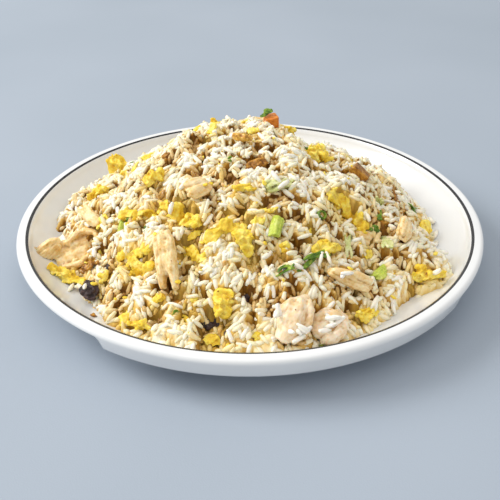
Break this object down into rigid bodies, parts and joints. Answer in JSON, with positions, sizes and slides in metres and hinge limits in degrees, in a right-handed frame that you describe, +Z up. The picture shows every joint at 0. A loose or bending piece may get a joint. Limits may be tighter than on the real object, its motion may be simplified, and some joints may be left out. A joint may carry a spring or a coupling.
{
  "type": "fried rice plate",
  "caption": "Mound of fried rice with scrambled egg, chicken, carrot, mushroom and spring onion, heaped on a deep round white plate with a skirted rim and a thin dark rim line.",
  "frame": {"origin": "bottom centre of the plate, in the plane that its foot ring stands on", "axes": "+Z up; -Y is the front, the side that the dish is seen from; +X to the right"},
  "size_m": [0.2608, 0.2608, 0.0782],
  "materials": {
    "glazed_plate": "gloss",
    "rice": "satin",
    "egg": "satin",
    "chicken": "satin",
    "carrot": "satin",
    "mushroom": "satin",
    "spring_onion": "satin"
  },
  "bodies": {
    "root": {"carrot_01": "carrot", "carrot_02": "carrot", "carrot_03": "carrot", "chicken_01": "chicken", "chicken_02": "chicken", "chicken_03": "chicken", "chicken_04": "chicken", "chicken_05": "chicken", "chicken_06": "chicken", "chicken_07": "chicken", "chicken_08": "chicken", "chicken_09": "chicken", "chicken_fork": "chicken", "egg_01": "egg", "egg_02": "egg", "egg_03": "egg", "egg_04": "egg", "egg_05": "egg", "egg_06": "egg", "egg_07": "egg", "egg_08": "egg", "egg_09": "egg", "egg_10": "egg", "egg_11": "egg", "egg_12": "egg", "egg_13": "egg", "egg_14": "egg", "egg_15": "egg", "egg_16": "egg", "egg_17": "egg", "egg_18": "egg", "egg_19": "egg", "egg_20": "egg", "egg_21": "egg", "greens_01": "spring_onion", "greens_02": "spring_onion", "greens_03": "spring_onion", "greens_04": "spring_onion", "greens_top": "spring_onion", "mushroom_01": "mushroom", "mushroom_02": "mushroom", "plate": "glazed_plate", "rice": "rice"}
  },
  "joints": []
}
